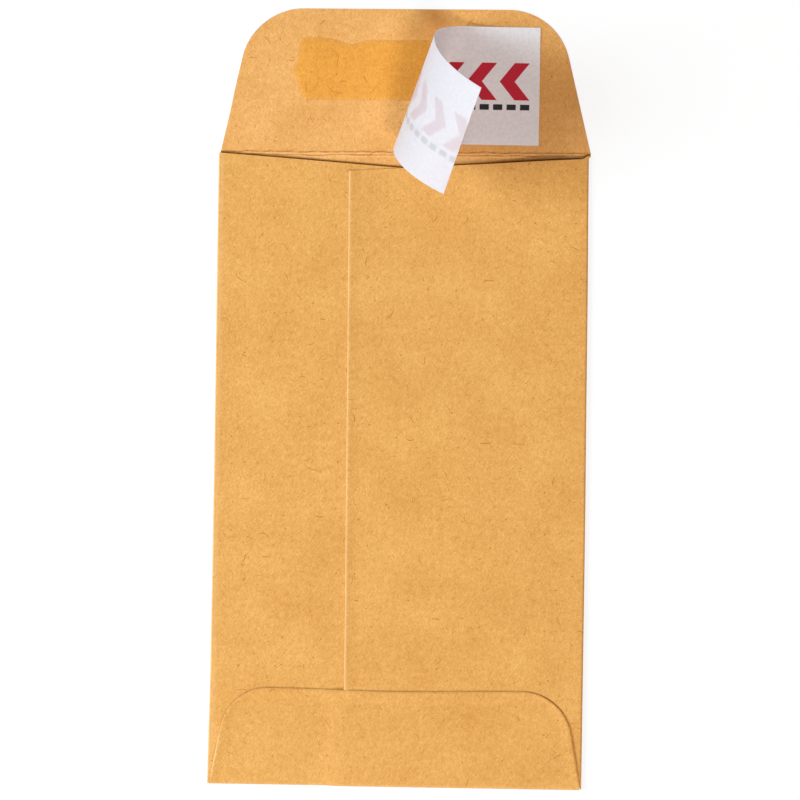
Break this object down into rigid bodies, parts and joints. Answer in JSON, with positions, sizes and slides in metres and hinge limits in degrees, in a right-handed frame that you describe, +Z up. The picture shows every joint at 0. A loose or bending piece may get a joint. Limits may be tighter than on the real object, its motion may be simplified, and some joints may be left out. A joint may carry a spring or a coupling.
{
  "type": "paper envelope",
  "caption": "Small golden kraft coin envelope, seam side up, flap open, with an adhesive patch on the flap and its white release liner half peeled and curled back.",
  "frame": {"origin": "centre of the envelope's footprint, on the surface that it lies on", "axes": "+X to the right of the seam side, +Y from the bottom fold to the closing flap, +Z up, out of the seam side"},
  "size_m": [0.0634, 0.1328, 0.0243],
  "materials": {
    "kraft": "matt golden kraft with sparse dark fibres",
    "gum": "dried clear gum",
    "adhesive": "clear pressure-sensitive adhesive that deepens the kraft under it",
    "liner": "white release paper, satin on its coated side"
  },
  "bodies": {
    "root": {"envelope_sheet": "kraft", "side_seam_glue": "gum", "bottom_flap_glue": "gum", "flap_adhesive": "adhesive", "release_liner": "liner"}
  },
  "joints": []
}
